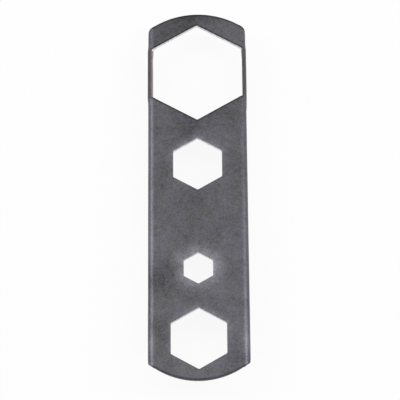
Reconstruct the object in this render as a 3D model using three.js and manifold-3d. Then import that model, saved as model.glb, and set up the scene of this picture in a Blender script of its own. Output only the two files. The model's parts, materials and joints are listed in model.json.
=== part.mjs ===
// Bench wrench: a strip of sheet steel with round ends, folded down along both long edges
// and pierced with four hexagonal openings in one row.
// Millimetres. X runs across the wrench, Y along it towards the head with the largest opening,
// and Z up out of the flat web. The origin is at the middle of the footprint of the flanges.

import * as THREE from 'three';
import { mergeVertices } from 'three/addons/utils/BufferGeometryUtils.js';
import Module from 'manifold-3d';

// Sheet and bends
const SHEET_THICKNESS = 1.5;
const BEND_INNER_RADIUS = 0.9;
const BEND_NEUTRAL_SHARE = 0.45; // place of the unstretched layer in a bend, from the inner face
const FLANGE_DEPTH = 11; // outer face of the web to the free edges of the flanges

// Openings, from the head to the tail
const LARGE_FLATS = 32;
const MIDDLE_FLATS = 17;
const SMALL_FLATS = 10;
const TAIL_FLATS = 19;
const OPENING_CORNER_RADIUS = 0.6;

// Metal left between the corners of the openings, and from the end corners to the crowns of the ends
const HEAD_RIM = 4.3;
const HEAD_LAND = 6.9;
const GRIP_LAND = 23;
const TAIL_LAND = 8.5;
const TAIL_RIM = 3.8;

// Round ends of the flat blank, as the extra of their radius over half the width of the blank
const HEAD_END_EXTRA = 2;
const TAIL_END_EXTRA = 0.3;

// Flanges swollen outwards beside the large opening, whose two side flats they are
const WALL_SWELL = 0.2;
const SWELL_RAMP = 2;

// Facets of the round stretches
const BEND_STEPS = 8;
const CORNER_STEPS = 3;
const END_STEPS = 48;
const CUT_OVERRUN = 5; // how far a cutting solid runs past the metal

// Sizes worked out from the driving dimensions
const BEND_OUTER_RADIUS = BEND_INNER_RADIUS + SHEET_THICKNESS;
const BEND_HEIGHT = FLANGE_DEPTH - BEND_OUTER_RADIUS;
const BODY_WIDTH = LARGE_FLATS + 2 * (SHEET_THICKNESS - WALL_SWELL);
const HALF_WIDTH = BODY_WIDTH / 2;
const WEB_HALF_WIDTH = HALF_WIDTH - BEND_OUTER_RADIUS;
const BEND_RUN = (Math.PI / 2) * (BEND_INNER_RADIUS + BEND_NEUTRAL_SHARE * SHEET_THICKNESS);
const BLANK_HALF_WIDTH = WEB_HALF_WIDTH + BEND_RUN + BEND_HEIGHT;
const HEAD_RADIUS = BLANK_HALF_WIDTH + HEAD_END_EXTRA;
const TAIL_RADIUS = BLANK_HALF_WIDTH + TAIL_END_EXTRA;

const OPENING_ROW = [
  { flats: LARGE_FLATS, land: HEAD_LAND },
  { flats: MIDDLE_FLATS, land: GRIP_LAND },
  { flats: SMALL_FLATS, land: TAIL_LAND },
  { flats: TAIL_FLATS, land: TAIL_RIM },
];

// Distance from the middle of a hexagon to its corners
function cornerReach(flats) {
  return flats / Math.sqrt(3);
}

const BODY_LENGTH = OPENING_ROW.reduce(
  (length, { flats, land }) => length + 2 * cornerReach(flats) + land,
  HEAD_RIM,
);
const HALF_LENGTH = BODY_LENGTH / 2;

// Each opening with the place of its middle along Y
function placeOpenings() {
  let edge = HALF_LENGTH - HEAD_RIM;
  return OPENING_ROW.map(({ flats, land }) => {
    const y = edge - cornerReach(flats);
    edge = y - cornerReach(flats) - land;
    return { flats, y };
  });
}

const wasm = await Module();
wasm.setup();

// Closed geometry as a solid that can be joined and cut
function toSolid(geometry) {
  const bare = geometry.clone();
  bare.deleteAttribute('normal');
  bare.deleteAttribute('uv');
  const merged = mergeVertices(bare);
  return new wasm.Manifold(new wasm.Mesh({
    numProp: 3,
    vertProperties: new Float32Array(merged.getAttribute('position').array),
    triVerts: new Uint32Array(merged.getIndex().array),
  }));
}

// Solid as geometry with flat facets
function toGeometry(solid) {
  const { vertProperties, triVerts } = solid.getMesh();
  const indexed = new THREE.BufferGeometry();
  indexed.setAttribute('position', new THREE.BufferAttribute(vertProperties, 3));
  indexed.setIndex(new THREE.BufferAttribute(triVerts, 1));
  const geometry = indexed.toNonIndexed();
  geometry.computeVertexNormals();
  return geometry;
}

// Folded section across the wrench, open below, for a given width over the flanges
function channelShape(width) {
  const outer = width / 2;
  const inner = outer - SHEET_THICKNESS;
  const bend = outer - BEND_OUTER_RADIUS;
  const shape = new THREE.Shape();
  shape.moveTo(-inner, 0);
  shape.lineTo(-outer, 0);
  shape.absarc(-bend, BEND_HEIGHT, BEND_OUTER_RADIUS, Math.PI, Math.PI / 2, true);
  shape.absarc(bend, BEND_HEIGHT, BEND_OUTER_RADIUS, Math.PI / 2, 0, true);
  shape.lineTo(outer, 0);
  shape.lineTo(inner, 0);
  shape.absarc(bend, BEND_HEIGHT, BEND_INNER_RADIUS, 0, Math.PI / 2, false);
  shape.absarc(-bend, BEND_HEIGHT, BEND_INNER_RADIUS, Math.PI / 2, Math.PI, false);
  shape.closePath();
  return shape;
}

// Folded section run along Y, past both ends of the wrench
function channelBar(width) {
  const length = BODY_LENGTH + 2 * CUT_OVERRUN;
  const geometry = new THREE.ExtrudeGeometry(channelShape(width), {
    depth: length,
    bevelEnabled: false,
    curveSegments: BEND_STEPS,
  });
  return toSolid(geometry.rotateX(Math.PI / 2).translate(0, length / 2, 0));
}

// Place on the folded sheet of a point of the flat blank, given its distance across
// from the middle line and its depth below the outer face
function fold(across, depth) {
  const run = Math.abs(across) - WEB_HALF_WIDTH;
  if (run <= 0) {
    return { x: across, z: FLANGE_DEPTH - depth };
  }
  const radius = BEND_OUTER_RADIUS - depth;
  const turn = (Math.PI / 2) * Math.min(run / BEND_RUN, 1);
  const drop = Math.max(run - BEND_RUN, 0);
  return {
    x: Math.sign(across) * (WEB_HALF_WIDTH + radius * Math.sin(turn)),
    z: BEND_HEIGHT + radius * Math.cos(turn) - drop,
  };
}

// Waste beyond a round end of the blank, folded as the sheet is; turned for the end that it cuts.
// Its columns stand at equal turns along the round end, with one more past each edge of the blank.
function endWaste(radius, turn) {
  const sweep = Math.asin(BLANK_HALF_WIDTH / radius);
  const steps = END_STEPS + 2;
  const geometry = new THREE.BoxGeometry(steps, 1, 1, steps, 1, 1);
  const position = geometry.getAttribute('position');
  for (let index = 0; index < position.count; index += 1) {
    const share = (2 * position.getX(index)) / END_STEPS;
    const angle = sweep * THREE.MathUtils.clamp(share, -1, 1);
    const past = Math.abs(share) > 1 ? Math.sign(share) * CUT_OVERRUN : 0;
    const depth = position.getZ(index) > 0 ? -CUT_OVERRUN : SHEET_THICKNESS + BEND_INNER_RADIUS / 2;
    const reach = position.getY(index) > 0 ? CUT_OVERRUN : radius * (Math.cos(angle) - 1);
    const { x, z } = fold(radius * Math.sin(angle) + past, depth);
    position.setXYZ(index, x, HALF_LENGTH + reach, z);
  }
  return toSolid(geometry.rotateZ(turn));
}

// Prism of a shape drawn in X and Y, through the whole height of the wrench
function throughPrism(shape) {
  const geometry = new THREE.ExtrudeGeometry(shape, {
    depth: FLANGE_DEPTH + 2 * CUT_OVERRUN,
    bevelEnabled: false,
    curveSegments: CORNER_STEPS,
  });
  return toSolid(geometry.translate(0, 0, -CUT_OVERRUN));
}

// Punch for one opening: a hexagon with rounded corners, flats towards both sides of the wrench
function openingPunch({ flats, y }) {
  const reach = cornerReach(flats) - OPENING_CORNER_RADIUS / Math.cos(Math.PI / 6);
  const shape = new THREE.Shape();
  for (let corner = 0; corner < 6; corner += 1) {
    const heading = Math.PI / 2 + (corner * Math.PI) / 3;
    shape.absarc(
      reach * Math.cos(heading),
      y + reach * Math.sin(heading),
      OPENING_CORNER_RADIUS,
      heading - Math.PI / 6,
      heading + Math.PI / 6,
      false,
    );
  }
  shape.closePath();
  return throughPrism(shape);
}

// Plan of the swollen stretch of one flange; side is 1 for +X and -1 for -X
function swellPlan(side, y) {
  const inner = side * (HALF_WIDTH - SHEET_THICKNESS);
  const outer = side * HALF_WIDTH;
  const swollen = side * (HALF_WIDTH + WALL_SWELL);
  const flatEnd = cornerReach(LARGE_FLATS) / 2;
  const rampEnd = flatEnd + SWELL_RAMP;
  return new THREE.Shape([
    new THREE.Vector2(inner, y - flatEnd),
    new THREE.Vector2(outer, y - rampEnd),
    new THREE.Vector2(swollen, y - flatEnd),
    new THREE.Vector2(swollen, y + flatEnd),
    new THREE.Vector2(outer, y + rampEnd),
    new THREE.Vector2(inner, y + flatEnd),
  ]);
}

// Flanges pushed out beside the large opening
function swollenWalls(y) {
  const [right, left] = [1, -1].map((side) => throughPrism(swellPlan(side, y)));
  return channelBar(BODY_WIDTH + 2 * WALL_SWELL).intersect(right.add(left));
}

// Whole wrench as one folded and pierced sheet
function wrenchBody() {
  const openings = placeOpenings();
  const folded = channelBar(BODY_WIDTH).add(swollenWalls(openings[0].y));
  const cutters = [endWaste(HEAD_RADIUS, 0), endWaste(TAIL_RADIUS, Math.PI), ...openings.map(openingPunch)];
  const solid = cutters.reduce((metal, cutter) => metal.subtract(cutter), folded);
  const mesh = new THREE.Mesh(toGeometry(solid), new THREE.MeshStandardMaterial({
    color: 0x5d5b61,
    roughness: 0.5,
    metalness: 0.9,
  }));
  mesh.name = 'wrench_body';
  return mesh;
}

const wrench = new THREE.Group();
wrench.add(wrenchBody());

export default wrench;
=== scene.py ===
"""Bench wrench: a pressed steel plate with round ends, folded down along both sides and pierced with
four hexagonal openings in one row.

The plate is made as a press makes it: a flat blank is cut and pierced, its edges are rolled by the
dies, and then its two long sides are folded down.
"""
import json
import logging
import math
from dataclasses import dataclass
from enum import Enum
from typing import Any

import bmesh
import bpy
from bmesh.types import BMEdge, BMesh, BMFace, BMLayerItem, BMVert
from bpy.types import Material, Node, NodeSocket, Object
from mathutils import Matrix, Quaternion, Vector, noise
from mathutils.bvhtree import BVHTree


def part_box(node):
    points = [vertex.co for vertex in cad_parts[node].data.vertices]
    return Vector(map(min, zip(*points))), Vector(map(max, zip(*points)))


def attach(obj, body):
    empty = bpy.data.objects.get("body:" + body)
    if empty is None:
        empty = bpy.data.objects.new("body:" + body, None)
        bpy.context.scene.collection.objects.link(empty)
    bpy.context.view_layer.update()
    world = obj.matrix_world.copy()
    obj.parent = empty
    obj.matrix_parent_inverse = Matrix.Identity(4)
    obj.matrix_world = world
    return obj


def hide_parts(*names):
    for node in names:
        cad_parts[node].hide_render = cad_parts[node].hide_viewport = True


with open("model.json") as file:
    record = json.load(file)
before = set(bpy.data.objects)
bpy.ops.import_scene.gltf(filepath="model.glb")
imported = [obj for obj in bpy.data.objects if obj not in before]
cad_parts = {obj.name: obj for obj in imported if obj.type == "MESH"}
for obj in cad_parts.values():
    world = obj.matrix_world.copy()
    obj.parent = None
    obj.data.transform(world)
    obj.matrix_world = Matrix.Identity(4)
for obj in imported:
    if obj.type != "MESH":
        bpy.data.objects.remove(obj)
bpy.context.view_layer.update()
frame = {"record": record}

LOG = logging.getLogger("bench_wrench")

# Names in the record
BODY = "root"
NODE = "wrench_body"
SLOT = "blackened_steel"
OPENING_MOUNT = "_opening_flat"
REST_MOUNT = "bench_rest_right"

# A millimetre in metres, and the least length in millimetres that tells two places apart
MM = 0.001
TOLERANCE = 0.001

# Faces of the flat blank whose normals rise less than the tilt are cut walls, and sharp edges border them
WALL_TILT = 0.1
SHARP_ANGLE = math.radians(60)

# Corners of an opening
HEX_CORNERS = 6

# Numbers of the colour sockets on Blender's mix node, whose names repeat
MIX_FIRST = 6
MIX_SECOND = 7
MIX_RESULT = 2

# Colour of the lights at the sides
COOL = (0.93, 0.92, 1.0)


class Trace(Enum):
    """Marks that the press leaves on the plate, and where light and shade are painted, kept on its mesh for
    the finish to read.
    """

    CUT = "cut"
    BORE = "bore"
    FLAT = "flat"
    # Painted shade on the steep bends beside the large opening
    STRIP = "strip"
    OUTER_GAP = "outer_gap"
    LARGE_GAP = "large_gap"
    RUB = "rub"
    HALO = "halo"
    # Painted highlight on the rolled rim of the tail's corners
    WORN = "worn"


class Pattern(Enum):
    """Random patterns in the finish, from the widest to the finest and the two drawn-out ones."""

    TINTS = "tints"
    CLOUDS = "clouds"
    PATCHES = "patches"
    MOTTLE = "mottle"
    SPECKLE = "speckle"
    ROLLED = "rolled"
    SLID = "slid"


class Side(Enum):
    """The two faces of the sheet, by their height over its outer face as a share of the thickness."""

    OUTER = 0.0
    INNER = -1.0


Colour = tuple[float, float, float, float]
Layers = dict[Trace, BMLayerItem]
Patterns = dict[Pattern, NodeSocket]
Strengths = tuple[tuple[Pattern, float], ...]


@dataclass(frozen=True)
class Opening:
    """One hexagonal opening, with corners along the wrench and flats towards its sides, in millimetres."""

    name: str
    flats: float
    along: float
    corner_radius: float = 0.6

    @property
    def reach(self) -> float:
        """Distance from the middle to a corner before the corner is rounded."""
        return self.flats / math.sqrt(3)

    def gap(self, x: float, y: float) -> float:
        """Distance of a point from the edge of the opening.

        Args:
            x: place across the wrench.
            y: place along the wrench.

        Returns:
            The distance, negative inside the opening.
        """
        half = self.flats / 2 - self.corner_radius
        point = Vector((abs(y - self.along), abs(x)))
        slant = Vector((-math.sqrt(3) / 2, 0.5))
        point -= 2 * min(slant.dot(point), 0) * slant
        corner = half / math.sqrt(3)
        point -= Vector((max(-corner, min(corner, point.x)), half))
        return math.copysign(point.length, point.y) - self.corner_radius

    def outward(self, x: float, y: float, step: float = 0.01) -> Vector:
        """Level direction in which the distance from the opening grows fastest at a point.

        Args:
            x: place across the wrench.
            y: place along the wrench.
            step: half the way over which the growth is measured.

        Returns:
            The direction, of length 1.
        """
        slope_x = self.gap(x + step, y) - self.gap(x - step, y)
        slope_y = self.gap(x, y + step) - self.gap(x, y - step)
        return Vector((slope_x, slope_y, 0)).normalized()


@dataclass
class PressedPlate:
    """The whole wrench: one folded and pierced plate, with its sizes in millimetres."""

    length: float
    half_width: float
    flange_depth: float
    sheet: float
    openings: list[Opening]

    # Round ends, bends and the flanges swollen beside the large opening
    head_extra: float = 2.0
    tail_extra: float = 0.3
    bend_inner: float = 0.9
    neutral_share: float = 0.45
    bend_bulge: float = 0.48
    bulge_reach: float = 3.0
    swell: float = 0.2
    swell_ramp: float = 2.0

    # Rolled edges, sunk rims and the wave of the sheet
    punch_roll: float = 0.16
    punch_steps: int = 4
    burr_edge: float = 0.1
    burr_steps: int = 2
    rim_rings: tuple[float, ...] = (0.4, 0.5, 0.8)
    rim_sink: float = 0.06
    rim_sink_width: float = 1.6
    halo_sink: float = 0.1
    wave_height: float = 0.03
    wave_length: float = 11.0

    # Reach of the rubbed flats, of the paler rings and edges, of the painted highlight on the tail's corners
    # and of the strips of painted shade
    halo_width: float = 5.6
    rub_width: float = 3.2
    rub_tail_share: float = 0.25
    # Painted highlight on the tail's corners
    corner_highlight_reach: float = 6.0
    corner_highlight_rim: float = 0.45
    flat_fade: float = 3.0
    # Strips of painted shade on the bends beside the large opening
    strip_fade: float = 0.8
    strip_bend_share: float = 0.6
    strip_drop: float = 1.2

    # Fineness of the mesh
    end_steps: int = 96
    corner_steps: int = 6
    bend_steps: int = 12
    rule_along: float = 1.5
    rule_across: float = 1.8

    @classmethod
    def from_record(cls, record: dict[str, Any]) -> "PressedPlate":
        """Reads the plate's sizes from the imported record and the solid's box.

        Args:
            record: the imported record, whose mounts lie on the flats of the openings.

        Returns:
            The plate, not built yet.
        """
        low, high = (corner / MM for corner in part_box(NODE))
        places = {mount["name"]: Vector(mount["pos_m"]) / MM for mount in record["mounts"]}
        openings = [
            Opening(name.removesuffix(OPENING_MOUNT), 2 * place.x, place.y)
            for name, place in places.items()
            if name.endswith(OPENING_MOUNT)
        ]
        openings.sort(key=lambda opening: -opening.along)
        sheet = 2 * (high.z - places[openings[-1].name + OPENING_MOUNT].z)
        half_width = places[REST_MOUNT].x + sheet / 2
        return cls(high.y - low.y, half_width, high.z, sheet, openings)

    @property
    def large(self) -> Opening:
        """The opening in the head, whose side flats are the flanges."""
        return self.openings[0]

    @property
    def small(self) -> Opening:
        """The smallest opening, with the widest paler ring round it."""
        return min(self.openings, key=lambda opening: opening.flats)

    @property
    def bend_outer(self) -> float:
        """Outer radius of the two bends."""
        return self.bend_inner + self.sheet

    @property
    def bend_height(self) -> float:
        """Height of the bends' middle lines over the flanges' free edges."""
        return self.flange_depth - self.bend_outer

    @property
    def web_half(self) -> float:
        """Half the width of the flat web between the bends."""
        return self.half_width - self.bend_outer

    @property
    def bend_run(self) -> float:
        """Width of the flat blank that goes into one bend."""
        return math.pi / 2 * (self.bend_inner + self.neutral_share * self.sheet)

    @property
    def blank_half(self) -> float:
        """Half the width of the flat blank."""
        return self.web_half + self.bend_run + self.bend_height

    def unfold(self, x: float) -> float:
        """Place across the blank of a point of the folded outer face, seen from above.

        Args:
            x: place across the folded wrench.

        Returns:
            The place across the flat blank.
        """
        past = abs(x) - self.web_half
        if past <= 0:
            return x
        turn = math.asin(past / self.bend_outer)
        return math.copysign(self.web_half + self.bend_run * turn / (math.pi / 2), x)

    def turn(self, across: float) -> float:
        """Angle by which the sheet is folded down at a place across the blank."""
        run = abs(across) - self.web_half
        return math.pi / 2 * max(0, min(run / self.bend_run, 1))

    def fold(self, point: Vector) -> Vector:
        """Moves a point of the flat blank to its place on the folded plate.

        Args:
            point: place across, along and above the blank's outer face.

        Returns:
            The place on the folded plate.
        """
        run = abs(point.x) - self.web_half
        if run <= 0:
            return Vector((point.x, point.y, self.flange_depth + point.z))
        turn = self.turn(point.x)
        radius = self.bend_outer + point.z
        x = self.web_half + radius * math.sin(turn)
        z = self.bend_height + radius * math.cos(turn) - max(run - self.bend_run, 0)
        return Vector((math.copysign(x, point.x), point.y, z))

    def build(self) -> Object:
        """Makes the plate's mesh, from the flat blank to the folded wrench.

        Returns:
            The finished object, at the origin.
        """
        bm = bmesh.new()
        self.cut_blank(bm)
        self.ring_edges(bm)
        self.thicken(bm)
        self.roll_edges(bm)
        self.rule_sheet(bm)
        self.mark_traces(bm)
        self.sink_rims(bm)
        self.fold_sides(bm)
        return self.finish(bm)

    def cut_blank(self, bm: BMesh) -> None:
        """Cuts the flat blank with its round ends and pierces the openings.

        Args:
            bm: the empty mesh that takes the blank.
        """
        head_start, head_end = self.round_end(bm, 1, self.blank_half + self.head_extra)
        tail_start, tail_end = self.round_end(bm, -1, self.blank_half + self.tail_extra)
        bm.edges.new((head_end, tail_start))
        bm.edges.new((tail_end, head_start))
        for opening in self.openings:
            self.pierce(bm, opening)
        middle = [vert for vert in bm.verts if abs(vert.co.x) < TOLERANCE]
        middle.sort(key=lambda vert: vert.co.y)
        for low, high in zip(middle[::2], middle[1::2]):
            low.co.x = high.co.x = 0
            bm.edges.new((low, high))
        for side in (-1, 1):
            half = [edge for edge in bm.edges if all(side * vert.co.x >= 0 for vert in edge.verts)]
            bmesh.ops.contextual_create(bm, geom=half)
        bmesh.ops.recalc_face_normals(bm, faces=bm.faces[:])
        if bm.faces[0].normal.z < 0:
            bmesh.ops.reverse_faces(bm, faces=bm.faces[:])

    def round_end(self, bm: BMesh, heading: int, radius: float) -> tuple[BMVert, BMVert]:
        """Draws the arc of one end of the blank.

        Args:
            bm: the mesh that takes the arc.
            heading: 1 for the head, -1 for the tail.
            radius: radius of the arc.

        Returns:
            The first and the last vertex of the arc.
        """
        sweep = math.asin(self.blank_half / radius)
        centre = Vector((0, heading * (self.length / 2 - radius), 0))
        corner = centre + heading * Vector((self.blank_half, radius * math.cos(sweep), 0))
        first = bm.verts.new(corner)
        arc = bmesh.ops.spin(
            bm, geom=[first], cent=centre, axis=(0, 0, 1), angle=2 * sweep, steps=self.end_steps
        )
        last = next(item for item in arc["geom_last"] if isinstance(item, BMVert))
        return first, last

    def pierce(self, bm: BMesh, opening: Opening) -> None:
        """Draws the edge of one opening, with rounded corners, on the blank.

        Args:
            bm: the mesh that takes the edge.
            opening: the opening to draw.
        """
        middle = Vector((0, opening.along, 0))
        hexagon = bmesh.ops.create_circle(
            bm, segments=HEX_CORNERS, radius=opening.reach, matrix=Matrix.Translation(middle)
        )
        bmesh.ops.bevel(
            bm,
            geom=hexagon["verts"],
            affect="VERTICES",
            offset=opening.corner_radius * math.tan(math.pi / HEX_CORNERS),
            segments=self.corner_steps,
            profile=0.5,
            material=-1,
        )
        shortest_side = opening.flats / 4
        sides = [
            edge
            for edge in bm.edges
            if edge.calc_length() > shortest_side
            and all((vert.co - middle).length < opening.reach for vert in edge.verts)
        ]
        bmesh.ops.subdivide_edges(bm, edges=sides, cuts=math.ceil(opening.reach / self.rule_along))
        for vert in bm.verts:
            if (vert.co - middle).length < opening.reach:
                vert.co.x = self.unfold(vert.co.x)

    def ring_edges(self, bm: BMesh) -> None:
        """Lays rings of faces along every cut edge, for the sheet to sink there.

        Args:
            bm: the pierced blank, without thickness.
        """
        core = bm.faces[:]
        for width in self.rim_rings:
            bmesh.ops.inset_region(
                bm, faces=core, use_boundary=True, use_even_offset=True, thickness=width
            )

    def thicken(self, bm: BMesh) -> None:
        """Gives the blank the thickness of the sheet, below its outer face.

        Args:
            bm: the pierced blank, without thickness.
        """
        bmesh.ops.solidify(bm, geom=bm.faces[:], thickness=self.sheet)
        top = max(vert.co.z for vert in bm.verts)
        bmesh.ops.translate(bm, verts=bm.verts[:], vec=(0, 0, -top))
        bmesh.ops.recalc_face_normals(bm, faces=bm.faces[:])

    def rim_edges(self, bm: BMesh, side: Side) -> list[BMEdge]:
        """Finds the sharp edges round one face of the flat blank.

        Args:
            bm: the flat blank.
            side: the face of the sheet whose edges are wanted.

        Returns:
            The edges between that face and the cut walls.
        """
        level = side.value * self.sheet
        return [
            edge
            for edge in bm.edges
            if all(abs(vert.co.z - level) < TOLERANCE for vert in edge.verts)
            and edge.calc_face_angle() > SHARP_ANGLE
        ]

    def roll_edges(self, bm: BMesh) -> None:
        """Rounds the edges: wide where the punch went in, narrow where it came out.

        Args:
            bm: the thick flat blank.
        """
        rolls = (
            (Side.OUTER, self.punch_roll, self.punch_steps),
            (Side.INNER, self.burr_edge, self.burr_steps),
        )
        for side, radius, steps in rolls:
            bmesh.ops.bevel(
                bm,
                geom=self.rim_edges(bm, side),
                affect="EDGES",
                offset=radius,
                segments=steps,
                profile=0.5,
                material=-1,
            )

    def rule_sheet(self, bm: BMesh) -> None:
        """Rules the blank with lines, close together in the bends, along which it can bend.

        Args:
            bm: the thick flat blank, with all its edges rolled.
        """
        bend_shares = [step / self.bend_steps for step in range(self.bend_steps + 1)]
        bend = [self.web_half + self.bend_run * share for share in bend_shares]
        web_count = math.floor(self.web_half / self.rule_across)
        web = [self.rule_across * step for step in range(1, web_count + 1)]
        flange_count = math.floor(self.bend_height / self.rule_across)
        flange = [bend[-1] + self.rule_across * step for step in range(1, flange_count)]
        along_count = math.floor(self.length / 2 / self.rule_along)
        along = [self.rule_along * step for step in range(-along_count, along_count + 1)]
        cuts = [Vector((side * place, 0, 0)) for place in web + bend + flange for side in (-1, 1)]
        cuts += [Vector((0, place, 0)) for place in along if abs(place) > 0]
        for cut in cuts:
            bmesh.ops.bisect_plane(
                bm,
                geom=bm.verts[:] + bm.edges[:] + bm.faces[:],
                dist=TOLERANCE,
                plane_co=cut,
                plane_no=cut.normalized(),
            )

    def opening_at(self, place: Vector) -> Opening | None:
        """Finds the opening that a place on a cut wall belongs to.

        Args:
            place: place on the flat blank.

        Returns:
            The opening, or None on the outer edge of the blank.
        """
        for opening in self.openings:
            if math.hypot(place.x, place.y - opening.along) < opening.reach:
                return opening
        return None

    def mark_traces(self, bm: BMesh) -> None:
        """Keeps on the flat blank, for the finish, where the sheet is cut or rubbed.

        Args:
            bm: the thick flat blank, with all its edges rolled.
        """
        layers: Layers = {trace: bm.verts.layers.float.new(trace.value) for trace in Trace}
        self.mark_walls(bm, layers)
        large_side = self.unfold(self.large.flats / 2) - self.punch_roll
        for vert in bm.verts:
            self.mark_paling(vert, layers)
            if abs(vert.co.x) > large_side:
                self.mark_large_side(vert, layers)

    def mark_walls(self, bm: BMesh, layers: Layers) -> None:
        """Marks the cut walls, and how far every place is from the outer edge and from the large opening.

        Args:
            bm: the thick flat blank.
            layers: the traces on its vertices.
        """
        bm.normal_update()
        bm.verts.index_update()
        walls: dict[Trace, list[BMFace]] = {Trace.OUTER_GAP: [], Trace.LARGE_GAP: []}
        for face in bm.faces:
            if abs(face.normal.z) > WALL_TILT:
                continue
            opening = self.opening_at(face.calc_center_median())
            if opening in (None, self.large):
                walls[Trace.LARGE_GAP if opening else Trace.OUTER_GAP].append(face)
            for vert in face.verts:
                vert[layers[Trace.BORE if opening else Trace.CUT]] = 1
        places = [vert.co.copy() for vert in bm.verts]
        for trace, faces in walls.items():
            tree = BVHTree.FromPolygons(places, [[vert.index for vert in face.verts] for face in faces])
            for vert in bm.verts:
                mid_sheet = Vector((vert.co.x, vert.co.y, -self.sheet / 2))
                _, _, _, gap = tree.find_nearest(mid_sheet)
                vert[layers[trace]] = gap

    def mark_paling(self, vert: BMVert, layers: Layers) -> None:
        """Marks how much paler the finish is beside the smaller openings, and the painted highlight on the
        corners of the tail.

        Args:
            vert: a vertex of the flat blank, with its distance from the outer edge.
            layers: the traces on the vertices.
        """
        vert[layers[Trace.RUB]] = self.rub_at(vert.co)
        vert[layers[Trace.HALO]] = self.falloff(self.small.gap(vert.co.x, vert.co.y), self.halo_width)
        # Painted highlight along the rolled rim of the tail's corners
        beside_rim = abs(vert[layers[Trace.OUTER_GAP]] - self.corner_highlight_rim)
        rim = self.fade(beside_rim, self.corner_highlight_rim)
        vert[layers[Trace.WORN]] = rim * self.falloff(self.tail_corner_gap(vert.co), self.corner_highlight_reach)

    def mark_large_side(self, vert: BMVert, layers: Layers) -> None:
        """Marks the rubbed flats inside and the strips of painted shade outside, beside the large opening.

        Args:
            vert: a vertex of a bend or a flange, on the flat blank.
            layers: the traces on the vertices.
        """
        past = self.past_flats(vert.co.y)
        if vert.co.z < -self.sheet / 2:
            vert[layers[Trace.FLAT]] = self.fade(past, self.flat_fade)
            return
        # Painted shade on the steep upper part of the bends beside the large opening
        below = abs(vert.co.x) - self.web_half - self.strip_bend_share * self.bend_run
        vert[layers[Trace.STRIP]] = self.fade(past, self.strip_fade) * self.fade(below, self.strip_drop)

    def past_flats(self, along: float) -> float:
        """Distance along the wrench past the large opening's side flats, negative beside them."""
        return abs(along - self.large.along) - self.large.reach / 2

    def rub_at(self, place: Vector) -> float:
        """How much paler the finish is at a place beside a smaller opening, most on its head side.

        Args:
            place: place on the flat blank.

        Returns:
            The share of paler steel, from 0 to 1.
        """
        shares = []
        for opening in self.openings[1:]:
            past_tail_corner = place.y - opening.along + opening.reach
            tail_side = self.fade(past_tail_corner, 2 * opening.reach)
            side = 1 + (self.rub_tail_share - 1) * tail_side
            shares.append(side * self.falloff(opening.gap(place.x, place.y), self.rub_width))
        return max(shares)

    def tail_corner_gap(self, place: Vector) -> float:
        """Distance of a place on the blank from the nearer corner of the tail, in the middle of a bend.

        Args:
            place: place on the flat blank.

        Returns:
            The distance.
        """
        radius = self.blank_half + self.tail_extra
        across = self.web_half + self.bend_run / 2
        along = radius - math.sqrt(radius**2 - across**2) - self.length / 2
        return math.hypot(abs(place.x) - across, place.y - along)

    @staticmethod
    def fade(past: float, width: float) -> float:
        """Share of an effect that is whole up to a line and gone at a width past it."""
        return max(0, min(1 - past / width, 1))

    @staticmethod
    def falloff(gap: float, width: float) -> float:
        """Share of an effect that is whole at an edge and fades out over a width beside it."""
        return max(0, 1 - max(gap, 0) / width) ** 2

    def sink_rims(self, bm: BMesh) -> None:
        """Sinks the sheet along its cut edges, most round the small opening, and makes it gently uneven.

        Args:
            bm: the thick flat blank, with its traces.
        """
        outer = bm.verts.layers.float[Trace.OUTER_GAP.value]
        large = bm.verts.layers.float[Trace.LARGE_GAP.value]
        halo = bm.verts.layers.float[Trace.HALO.value]
        for vert in bm.verts:
            wave = noise.noise(Vector((vert.co.x, vert.co.y, 0)) / self.wave_length)
            gaps = [opening.gap(vert.co.x, vert.co.y) for opening in self.openings[1:]]
            sink = self.rim_sink * self.falloff(min(vert[outer], vert[large], *gaps), self.rim_sink_width)
            vert.co.z += self.wave_height * wave - sink - self.halo_sink * vert[halo]

    def swell_at(self, along: float) -> float:
        """How far the flanges are pushed out at a place along the wrench."""
        return self.swell * self.fade(self.past_flats(along), self.swell_ramp)

    def bulge_at(self, place: Vector, outer_gap: float) -> float:
        """How far the sheet is squeezed out at the end of a bend, most at its inner face.

        Args:
            place: place on the flat blank.
            outer_gap: distance from the outer edge of the blank.

        Returns:
            The way that the place moves along the wrench, away from its middle.
        """
        depth = max(0, -place.z / self.sheet)
        share = depth * math.sin(2 * self.turn(place.x)) * self.falloff(outer_gap, self.bulge_reach)
        return math.copysign(self.bend_bulge * share, place.y)

    def fold_sides(self, bm: BMesh) -> None:
        """Folds both sides down and clears the large opening, which is pierced straight through the bends.

        Args:
            bm: the thick flat blank, with its traces.
        """
        outer = bm.verts.layers.float[Trace.OUTER_GAP.value]
        for vert in bm.verts:
            turn = self.turn(vert.co.x)
            place = self.fold(vert.co)
            place.y += self.bulge_at(vert.co, vert[outer])
            if turn > 0:
                place.x += math.copysign(self.swell_at(place.y) * math.sin(turn), place.x)
                gap = self.large.gap(place.x, place.y)
                if gap < 0:
                    place -= gap * self.large.outward(place.x, place.y)
            vert.co = place

    def finish(self, bm: BMesh) -> Object:
        """Turns the folded mesh into the finished object, in metres.

        Args:
            bm: the folded plate, which is freed.

        Returns:
            The object, with smooth faces and steady normals.
        """
        bmesh.ops.scale(bm, vec=(MM, MM, MM), verts=bm.verts[:])
        for face in bm.faces:
            face.smooth = True
        mesh = bpy.data.meshes.new("pressed_plate")
        bm.to_mesh(mesh)
        bm.free()
        plate = bpy.data.objects.new("pressed_plate", mesh)
        bpy.context.scene.collection.objects.link(plate)
        plate.modifiers.new("steady_normals", "WEIGHTED_NORMAL")
        return plate


@dataclass(frozen=True)
class Grain:
    """Fineness of a random pattern: patches in each millimetre, and the layers of finer ones in them."""

    scale: float
    detail: float = 2.0
    roughness: float = 0.55


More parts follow.
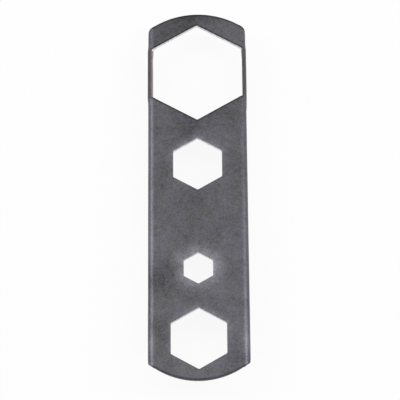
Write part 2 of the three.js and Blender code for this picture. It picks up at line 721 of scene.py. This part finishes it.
class NodeBoard:
    """Node tree of one material or world, with short ways to add what a finish needs."""

    def __init__(self, owner: Any) -> None:
        """Empties the owner's node tree.

        Args:
            owner: the material or world.
        """
        owner.use_nodes = True
        self.tree = owner.node_tree
        self.tree.nodes.clear()

    def add(self, kind: str, sockets: dict[Any, Any] | None = None, **settings: Any) -> Node:
        """Adds one node.

        Args:
            kind: Blender's name of the node.
            sockets: values by input name or number; a socket of another node is linked.
            settings: properties of the node.

        Returns:
            The new node.
        """
        node = self.tree.nodes.new(kind)
        for name, value in settings.items():
            setattr(node, name, value)
        for key, value in (sockets or {}).items():
            if isinstance(value, NodeSocket):
                self.tree.links.new(value, node.inputs[key])
            else:
                node.inputs[key].default_value = value
        return node

    def noise(self, place: NodeSocket, grain: Grain) -> NodeSocket:
        """Soft random pattern about 0.5."""
        fineness = {"Scale": grain.scale, "Detail": grain.detail, "Roughness": grain.roughness}
        return self.add("ShaderNodeTexNoise", {"Vector": place, **fineness}).outputs["Fac"]

    def math(self, operation: str, *values: Any) -> NodeSocket:
        """Result of a calculation with numbers or sockets."""
        return self.add("ShaderNodeMath", dict(enumerate(values)), operation=operation).outputs[0]

    def ramp(self, value: NodeSocket, start: float, end: float, low: Any = 0, high: Any = 1) -> NodeSocket:
        """Value carried smoothly from low at start to high at end, and held there beyond."""
        sockets = {"Value": value, "From Min": start, "From Max": end, "To Min": low, "To Max": high}
        return self.add("ShaderNodeMapRange", sockets, interpolation_type="SMOOTHSTEP").outputs["Result"]

    def blend(self, share: NodeSocket, first: Any, second: Any) -> NodeSocket:
        """Colour between two others."""
        sockets = {"Factor": share, MIX_FIRST: first, MIX_SECOND: second}
        return self.add("ShaderNodeMix", sockets, data_type="RGBA").outputs[MIX_RESULT]

    def dimmed(self, colour: Any, share: NodeSocket) -> NodeSocket:
        """A colour times a number.

        Args:
            colour: a colour or the socket of one.
            share: the number from place to place.

        Returns:
            The colour from place to place.
        """
        plain = colour if isinstance(colour, NodeSocket) else colour[:3]
        node = self.add("ShaderNodeVectorMath", {0: plain, "Scale": share}, operation="SCALE")
        return node.outputs["Vector"]

    def scaled(self, place: NodeSocket, scale: tuple[float, float, float]) -> NodeSocket:
        """A place stretched along the three axes."""
        return self.add("ShaderNodeMapping", {"Vector": place, "Scale": scale}).outputs["Vector"]

    def trace(self, trace: Trace) -> NodeSocket:
        """One of the press's marks kept on the mesh."""
        return self.add("ShaderNodeAttribute", attribute_name=trace.value).outputs["Fac"]


@dataclass(frozen=True)
class Smudge:
    """A soft patch where the black is deeper, paler or of another cast, or a painted highlight, with its
    sizes in millimetres.
    """

    name: str
    place: tuple[float, float, float]
    width: float
    change: float
    cast: float = 0.0

    def patch(self, board: NodeBoard, place: NodeSocket, height: float) -> NodeSocket:
        """A height in the middle of the smudge that falls to 0 at its edge.

        Args:
            board: the material's nodes.
            place: place on the wrench in millimetres.
            height: the height in the middle.

        Returns:
            The height from place to place.
        """
        ends = {0: place, 1: self.place}
        away = board.add("ShaderNodeVectorMath", ends, operation="DISTANCE", label=self.name)
        return board.ramp(away.outputs["Value"], 0, self.width, height, 0)


@dataclass(frozen=True)
class BlackenedSteel:
    """Satin blackened steel, finely mottled, with painted shade along its cut edges, and rubbed bare in its
    openings.
    """

    # Colours
    violet: Colour = (0.126, 0.1235, 0.139, 1)
    olive: Colour = (0.126, 0.125, 0.128, 1)
    # Paler steel beside the openings, also used for the painted highlight on the tail's corners
    rubbed: Colour = (0.36, 0.35, 0.385, 1)
    bare: Colour = (0.84, 0.83, 0.835, 1)
    side_flat: Colour = (0.30, 0.29, 0.295, 1)
    # Painted shade on the bends beside the large opening, browner on the left
    left_shade_strip: Colour = (0.089, 0.073, 0.075, 1)
    right_shade_strip: Colour = (0.098, 0.096, 0.096, 1)
    sheared: Colour = (0.128, 0.124, 0.129, 1)
    grazing: Colour = (0.6, 0.59, 0.62, 1)

    # Sheen
    metal_share: float = 0.6
    roughness: float = 0.4
    rough_spread: float = 0.22
    bore_polish: float = 0.14
    cut_drag: float = 0.1
    bump_height: float = 0.03
    bump_strength: float = 0.5

    # Paler steel beside the openings, and painted highlight on the tail's corners, less where the clouds are
    # dark
    halo_share: float = 0.64
    rub_share: float = 0.3
    # Painted highlight on the tail's corners
    corner_highlight_share: float = 0.6
    pale_least: float = 0.85
    pale_start: float = 0.3
    pale_end: float = 0.62

    # Rubbed flats inside the flanges, with a ragged border
    flat_ragged: float = 1.2
    flat_start: float = 0.8
    flat_end: float = 1.3
    flat_border: float = 0.1

    # Streaks that the punch and nuts draw down the walls and the flats
    drawn_start: float = 0.3
    drawn_end: float = 0.7
    drawn_dark: float = 0.7
    wall_light: float = 1.06
    flat_light: float = 1.3

    # Painted shade on the rims, and the places in millimetres where one end or side takes over from the other
    rim_start: float = 0.15
    rim_end: float = 0.9
    head_rim_shade: float = 0.3
    tail_rim_shade: float = 0.55
    rim_turnover: float = 60.0
    large_rim_shade: float = 0.35
    strip_turnover: float = 1.0

    # Smudges and random patterns of the black; the two bend smudges are painted highlight
    olive_below: float = 0.8
    violet_above: float = 1.2
    smudges: tuple[Smudge, ...] = (
        Smudge("crown", (-2.0, 70.0, 11.0), 13.0, -0.44),
        Smudge("head_left", (-9.0, 61.0, 11.0), 10.0, -0.2, cast=-0.35),
        Smudge("head_right", (13.0, 60.0, 11.0), 10.0, 0.2),
        Smudge("below_large", (-3.5, 24.5, 11.0), 11.0, -0.3),
        Smudge("left_below_large", (-12.5, 25.5, 11.0), 7.0, 0.12),
        Smudge("right_below_large", (10.0, 29.0, 11.0), 8.0, -0.1, cast=-0.25),
        Smudge("beside_middle", (-7.0, 4.0, 11.0), 5.0, 0.16),
        Smudge("below_middle", (-1.0, -2.0, 11.0), 9.0, -0.18),
        Smudge("above_small", (3.0, -16.0, 11.0), 9.0, -0.14),
        Smudge("right_of_grip", (11.5, -13.0, 11.0), 8.0, -0.14),
        Smudge("left_of_small", (-13.5, -32.5, 11.0), 11.0, -0.36),
        Smudge("right_of_small", (12.0, -31.0, 11.0), 7.0, -0.14),
        Smudge("below_small", (1.0, -38.5, 11.0), 8.0, -0.17),
        Smudge("right_below_small", (9.0, -40.0, 11.0), 7.0, -0.12),
        Smudge("left_of_tail", (-12.0, -53.0, 11.0), 8.0, -0.34),
        Smudge("tail_right", (12.0, -61.0, 11.0), 9.0, -0.13),
        # Painted highlight: paler black on the bends near the tail, to brighten the bend highlight there
        Smudge("left_bend", (-18.0, -55.0, 12.5), 6.5, 0.66),
        Smudge("right_bend", (18.0, -55.0, 12.5), 6.5, 0.54),
    )
    grains: tuple[tuple[Pattern, Grain], ...] = (
        (Pattern.TINTS, Grain(0.045)),
        (Pattern.CLOUDS, Grain(0.075)),
        (Pattern.PATCHES, Grain(0.2, detail=1.0)),
        (Pattern.MOTTLE, Grain(0.7, detail=5.0, roughness=0.65)),
        (Pattern.SPECKLE, Grain(1.7, roughness=0.6)),
    )
    streak: Grain = Grain(1.0)
    drawn_across: float = 3.0
    drawn_along: float = 0.12
    strengths: Strengths = (
        (Pattern.CLOUDS, 0.5),
        (Pattern.PATCHES, 0.44),
        (Pattern.MOTTLE, 0.8),
        (Pattern.SPECKLE, 1.1),
        (Pattern.ROLLED, 0.15),
    )
    reliefs: Strengths = (
        (Pattern.MOTTLE, 1.0),
        (Pattern.SPECKLE, 0.45),
        (Pattern.ROLLED, 0.25),
    )

    def material(self) -> Material:
        """Makes the finish.

        Returns:
            The material, with its patterns in millimetres on the object's own place.
        """
        made = bpy.data.materials.new(SLOT)
        board = NodeBoard(made)
        place = board.add("ShaderNodeTexCoord").outputs["Object"]
        place = board.scaled(place, (1 / MM, 1 / MM, 1 / MM))
        patterns = self.patterns(board, place)
        metal = board.math("MAXIMUM", board.trace(Trace.BORE), board.trace(Trace.FLAT))
        relief = self.summed(board, patterns, self.reliefs, 0)
        bump = board.add(
            "ShaderNodeBump",
            {"Height": relief, "Strength": self.bump_strength, "Distance": self.bump_height * MM},
        )
        shader = board.add(
            "ShaderNodeBsdfPrincipled",
            {
                "Base Color": self.tint(board, place, patterns),
                "Metallic": board.ramp(metal, 0, 1, self.metal_share, 1),
                "Roughness": self.rough(board, patterns),
                "Specular Tint": self.grazing,
                "Normal": bump.outputs["Normal"],
            },
        )
        board.add("ShaderNodeOutputMaterial", {"Surface": shader.outputs["BSDF"]})
        return made

    def patterns(self, board: NodeBoard, place: NodeSocket) -> Patterns:
        """Makes the random patterns that the finish is mixed from.

        Args:
            board: the material's nodes.
            place: place on the wrench in millimetres.

        Returns:
            Each pattern, about 0.5.
        """
        rolled = board.scaled(place, (self.drawn_across, self.drawn_along, self.drawn_across))
        slid = board.scaled(place, (self.drawn_across, self.drawn_across, self.drawn_along))
        made = {pattern: board.noise(place, grain) for pattern, grain in self.grains}
        made[Pattern.ROLLED] = board.noise(rolled, self.streak)
        made[Pattern.SLID] = board.noise(slid, self.streak)
        return made

    @staticmethod
    def summed(board: NodeBoard, patterns: Patterns, strengths: Strengths, level: float) -> NodeSocket:
        """Adds patterns up, each with its strength.

        Args:
            board: the material's nodes.
            patterns: the random patterns.
            strengths: the patterns to add and the strength of each.
            level: the number that they are added to.

        Returns:
            The sum from place to place.
        """
        total: Any = level
        for pattern, strength in strengths:
            total = board.math("MULTIPLY_ADD", patterns[pattern], strength, total)
        return total

    def rough(self, board: NodeBoard, patterns: Patterns) -> NodeSocket:
        """How rough the surface is: mottled, smoother in the openings and dragged on the sheared edges.

        Args:
            board: the material's nodes.
            patterns: the random patterns.

        Returns:
            The roughness from place to place.
        """
        least = self.roughness - self.rough_spread / 2
        rough = board.math("MULTIPLY_ADD", patterns[Pattern.MOTTLE], self.rough_spread, least)
        rough = board.math("MULTIPLY_ADD", board.trace(Trace.BORE), -self.bore_polish, rough)
        return board.math("MULTIPLY_ADD", board.trace(Trace.CUT), self.cut_drag, rough)

    def lightness(self, board: NodeBoard, place: NodeSocket, patterns: Patterns) -> NodeSocket:
        """How light the black is from place to place, with painted highlight on the bends near the tail.

        Args:
            board: the material's nodes.
            place: place on the wrench in millimetres.
            patterns: the random patterns.

        Returns:
            A factor about 1.
        """
        level = 1 - sum(strength for _, strength in self.strengths) / 2
        light = self.summed(board, patterns, self.strengths, level)
        for smudge in self.smudges:
            light = board.math("ADD", light, smudge.patch(board, place, smudge.change))
        return light

    def hue(self, board: NodeBoard, place: NodeSocket, patterns: Patterns) -> NodeSocket:
        """Cast of the black from place to place.

        Args:
            board: the material's nodes.
            place: place on the wrench in millimetres.
            patterns: the random patterns.

        Returns:
            A share from olive at 0 to violet at 1.
        """
        hue = board.math("ADD", patterns[Pattern.TINTS], patterns[Pattern.PATCHES])
        for smudge in self.smudges:
            if smudge.cast:
                hue = board.math("ADD", hue, smudge.patch(board, place, smudge.cast))
        return board.ramp(hue, self.olive_below, self.violet_above)

    def paling(self, board: NodeBoard, patterns: Patterns) -> NodeSocket:
        """How far the black turns paler beside the openings, with the painted highlight on the corners of the
        tail.

        Args:
            board: the material's nodes.
            patterns: the random patterns.

        Returns:
            The share of paler steel.
        """
        shares = {Trace.HALO: self.halo_share, Trace.RUB: self.rub_share, Trace.WORN: self.corner_highlight_share}
        worn: Any = 0
        for trace, share in shares.items():
            worn = board.math("MAXIMUM", worn, board.math("MULTIPLY", board.trace(trace), share))
        even = board.ramp(patterns[Pattern.CLOUDS], self.pale_start, self.pale_end, self.pale_least, 1)
        return board.math("MULTIPLY", worn, even)

    def rim_shade(self, board: NodeBoard, along: NodeSocket) -> NodeSocket:
        """Painted shade on the rims along the outline, most at the head, and along the large opening.

        Args:
            board: the material's nodes.
            along: place along the wrench in millimetres.

        Returns:
            A factor up to 1.
        """
        end_shade = board.ramp(
            along, -self.rim_turnover, self.rim_turnover, self.tail_rim_shade, self.head_rim_shade
        )
        shade = board.math(
            "MULTIPLY",
            board.ramp(board.trace(Trace.OUTER_GAP), self.rim_start, self.rim_end, end_shade),
            board.ramp(board.trace(Trace.LARGE_GAP), self.rim_start, self.rim_end, self.large_rim_shade),
        )
        # The strips of painted shade and the painted highlight on the tail's corners are spared
        spared = board.math("MAXIMUM", board.trace(Trace.STRIP), board.trace(Trace.WORN))
        return board.math("MAXIMUM", shade, spared)

    def flat_share(self, board: NodeBoard, patterns: Patterns) -> NodeSocket:
        """Where nuts have rubbed the inner faces of the flanges, with a ragged border.

        Args:
            board: the material's nodes.
            patterns: the random patterns.

        Returns:
            The share of rubbed steel.
        """
        flat = board.math("MULTIPLY_ADD", patterns[Pattern.MOTTLE], self.flat_ragged, board.trace(Trace.FLAT))
        inside = board.ramp(board.trace(Trace.FLAT), 0, self.flat_border)
        return board.math("MULTIPLY", board.ramp(flat, self.flat_start, self.flat_end), inside)

    def streaked(self, board: NodeBoard, patterns: Patterns, colour: Colour, light: float) -> NodeSocket:
        """A colour with streaks through the thickness of the sheet.

        Args:
            board: the material's nodes.
            patterns: the random patterns.
            colour: the colour between the darkest and the lightest streaks.
            light: factor of the lightest streaks.

        Returns:
            The colour from place to place.
        """
        slid = patterns[Pattern.SLID]
        drawn = board.ramp(slid, self.drawn_start, self.drawn_end, self.drawn_dark, light)
        return board.dimmed(colour, drawn)

    def tint(self, board: NodeBoard, place: NodeSocket, patterns: Patterns) -> NodeSocket:
        """Colour of the finish.

        Args:
            board: the material's nodes.
            place: place on the wrench in millimetres.
            patterns: the random patterns.

        Returns:
            The colour, cut walls included.
        """
        steel = board.blend(self.hue(board, place, patterns), self.olive, self.violet)
        # Paler steel beside the openings, and painted highlight on the tail's corners
        steel = board.blend(self.paling(board, patterns), steel, self.rubbed)
        parts = board.add("ShaderNodeSeparateXYZ", {0: place}).outputs
        # Strips of painted shade beside the large opening, browner on the left
        right = board.ramp(parts["X"], -self.strip_turnover, self.strip_turnover)
        strip = board.blend(right, self.left_shade_strip, self.right_shade_strip)
        steel = board.blend(board.trace(Trace.STRIP), steel, strip)
        light = self.lightness(board, place, patterns)
        # Painted shade on the rims darkens the black, together with the smudges and patterns
        steel = board.dimmed(steel, board.math("MULTIPLY", light, self.rim_shade(board, parts["Y"])))
        flat = self.streaked(board, patterns, self.side_flat, self.flat_light)
        steel = board.blend(self.flat_share(board, patterns), steel, flat)
        bare = self.streaked(board, patterns, self.bare, self.wall_light)
        steel = board.blend(board.trace(Trace.BORE), steel, bare)
        sheared = self.streaked(board, patterns, self.sheared, self.wall_light)
        return board.blend(board.trace(Trace.CUT), steel, sheared)

    def dress(self, piece: Object) -> None:
        """Gives a piece this finish."""
        piece.data.materials.append(self.material())


@dataclass(frozen=True)
class Panel:
    """A soft light: a lit panel that faces the wrench, with its sizes in metres."""

    name: str
    place: tuple[float, float, float]
    aim: tuple[float, float, float]
    size: tuple[float, float]
    brightness: float
    colour: tuple[float, float, float] = (1.0, 1.0, 1.0)

    def hang(self) -> None:
        """Hangs the lamp, turned to what it lights, of a brightness where 1 is a white card in full light."""
        lamp = bpy.data.lights.new(self.name, "AREA")
        lamp.shape = "RECTANGLE"
        lamp.size, lamp.size_y = self.size
        lamp.energy = self.brightness * math.pi * self.size[0] * self.size[1]
        lamp.color = self.colour
        panel = bpy.data.objects.new(self.name, lamp)
        panel.location = self.place
        heading = Vector(self.aim) - Vector(self.place)
        panel.rotation_euler = heading.to_track_quat("-Z", "Y").to_euler()
        bpy.context.scene.collection.objects.link(panel)


@dataclass(frozen=True)
class Studio:
    """White floor and soft lights, with sizes in metres, and the way that pictures are shown."""

    floor_half: float = 3.0
    floor_drop: float = 0.0002
    floor_white: float = 0.9
    floor_glow_share: float = 0.92
    room_grey: float = 0.36
    panels: tuple[Panel, ...] = (
        Panel("overhead", (0.08, 0.13, 0.62), (0.08, 0.13, 0), (0.6, 0.28), 1.0),
        Panel("left_side", (-0.46, 0.16, 0.38), (0, 0, 0), (0.25, 0.5), 4.6, COOL),
        Panel("right_side", (0.46, 0.04, 0.38), (0, 0, 0), (0.25, 0.5), 4.9, COOL),
    )

    def build(self) -> None:
        """Lays the floor, hangs the lights and sets the room's grey."""
        floor = self.floor()
        for panel in self.panels:
            panel.hang()
        room = bpy.data.worlds.new("room")
        board = NodeBoard(room)
        grey = (self.room_grey, self.room_grey, self.room_grey, 1)
        shell = board.add("ShaderNodeBackground", {"Color": grey, "Strength": 1.0})
        board.add("ShaderNodeOutputWorld", {"Surface": shell.outputs["Background"]})
        bpy.context.scene.world = room
        bpy.context.scene.view_settings.view_transform = "Standard"

    def floor(self) -> Object:
        """Makes the floor.

        Returns:
            The floor, just under the wrench.
        """
        bm = bmesh.new()
        bmesh.ops.create_grid(bm, x_segments=1, y_segments=1, size=self.floor_half)
        bmesh.ops.translate(bm, verts=bm.verts[:], vec=(0, 0, -self.floor_drop))
        mesh = bpy.data.meshes.new("floor")
        bm.to_mesh(mesh)
        bm.free()
        floor = bpy.data.objects.new("floor", mesh)
        bpy.context.scene.collection.objects.link(floor)
        floor.data.materials.append(self.floor_paint())
        return floor

    def floor_paint(self) -> Material:
        """White paint that looks white to the eye and in reflections, and still takes a shadow.

        Returns:
            The material of the floor.
        """
        paint = bpy.data.materials.new("white_floor")
        board = NodeBoard(paint)
        path = board.add("ShaderNodeLightPath").outputs
        seen = board.math("MAXIMUM", path["Is Camera Ray"], path["Is Glossy Ray"])
        seen = board.math("MAXIMUM", seen, path["Is Transmission Ray"])
        share = board.math("MULTIPLY", seen, self.floor_glow_share)
        white = (self.floor_white, self.floor_white, self.floor_white, 1)
        matt = board.add("ShaderNodeBsdfDiffuse", {"Color": white})
        glow = board.add("ShaderNodeEmission", {"Color": (1, 1, 1, 1), "Strength": 1.0})
        mixed = board.add("ShaderNodeMixShader", {0: share, 1: matt.outputs[0], 2: glow.outputs[0]})
        board.add("ShaderNodeOutputMaterial", {"Surface": mixed.outputs[0]})
        return paint


@dataclass(frozen=True)
class PhotoCamera:
    """Camera where the photograph was taken from, high over the tail and a little to the right.

    Places are in metres, angles in degrees, and the lens and its sensor in millimetres.
    """

    aim: tuple[float, float, float] = (0.000757, -0.00349, 0.011)
    distance: float = 0.7342
    elevation: float = 67.75
    azimuth: float = 3.5
    roll: float = -4.25
    lens: float = 191.4
    sensor: float = 36.0

    def build(self) -> Object:
        """Makes the camera and has the scene look through it.

        Returns:
            The camera.
        """
        data = bpy.data.cameras.new("photo_camera")
        data.lens = self.lens
        data.sensor_width = self.sensor
        rise = math.radians(self.elevation)
        round_by = math.radians(self.azimuth)
        level = Vector((math.sin(round_by), -math.cos(round_by), 0))
        back = level * math.cos(rise) + Vector((0, 0, math.sin(rise)))
        camera = bpy.data.objects.new("photo_camera", data)
        camera.location = Vector(self.aim) + back * self.distance
        camera.rotation_mode = "QUATERNION"
        straight = (-back).to_track_quat("-Z", "Y")
        camera.rotation_quaternion = straight @ Quaternion((0, 0, 1), math.radians(self.roll))
        bpy.context.scene.collection.objects.link(camera)
        bpy.context.scene.camera = camera
        return camera


def main() -> None:
    """Builds the wrench, its finish, the studio and the camera, in that order."""
    logging.basicConfig(level=logging.INFO, format="%(name)s: %(message)s")
    body = PressedPlate.from_record(frame["record"])
    plate = body.build()
    BlackenedSteel().dress(plate)
    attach(plate, BODY)
    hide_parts(NODE)
    LOG.info("%s: %d faces, %d openings", plate.name, len(plate.data.polygons), len(body.openings))
    studio = Studio()
    studio.build()
    LOG.info("studio: floor and %d lights", len(studio.panels))
    camera = PhotoCamera().build()
    LOG.info("%s at %s", camera.name, [round(place, 3) for place in camera.location])


if __name__ == "__main__":
    main()
